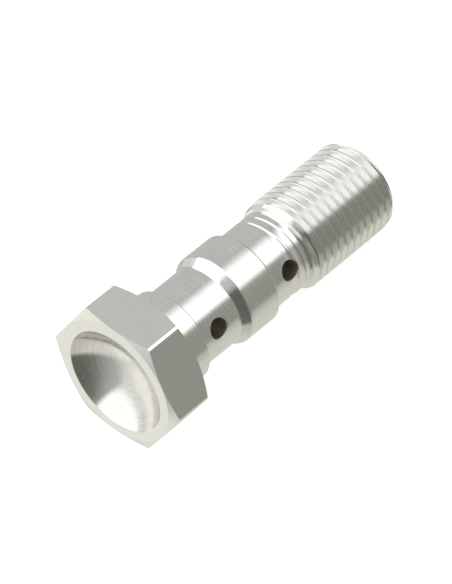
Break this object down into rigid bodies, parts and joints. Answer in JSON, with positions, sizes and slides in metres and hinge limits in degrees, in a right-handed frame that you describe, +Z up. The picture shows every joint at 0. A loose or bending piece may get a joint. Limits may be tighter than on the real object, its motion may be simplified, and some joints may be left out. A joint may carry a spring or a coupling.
{
  "type": "banjo bolt",
  "caption": "Hollow hexagon-head bolt with a dished head, collars, relieved necks with cross holes and a fine thread, which clamps stacked banjo fittings to a port and feeds them.",
  "frame": {"origin": "on the table, under the middle of the bolt as it lies at rest", "axes": "+X along the bolt from head to thread, seen from above; +Z up; the bolt's own axis slopes down towards the thread in the XZ plane, because the head is larger than the shank"},
  "size_m": [0.0364, 0.016, 0.0143],
  "materials": {
    "bright_steel": "bright turned steel: fine turning marks on the shank and in the dish, drawn flats on the hexagon"
  },
  "bodies": {
    "root": {"banjo_bolt": "bright_steel"}
  },
  "joints": []
}
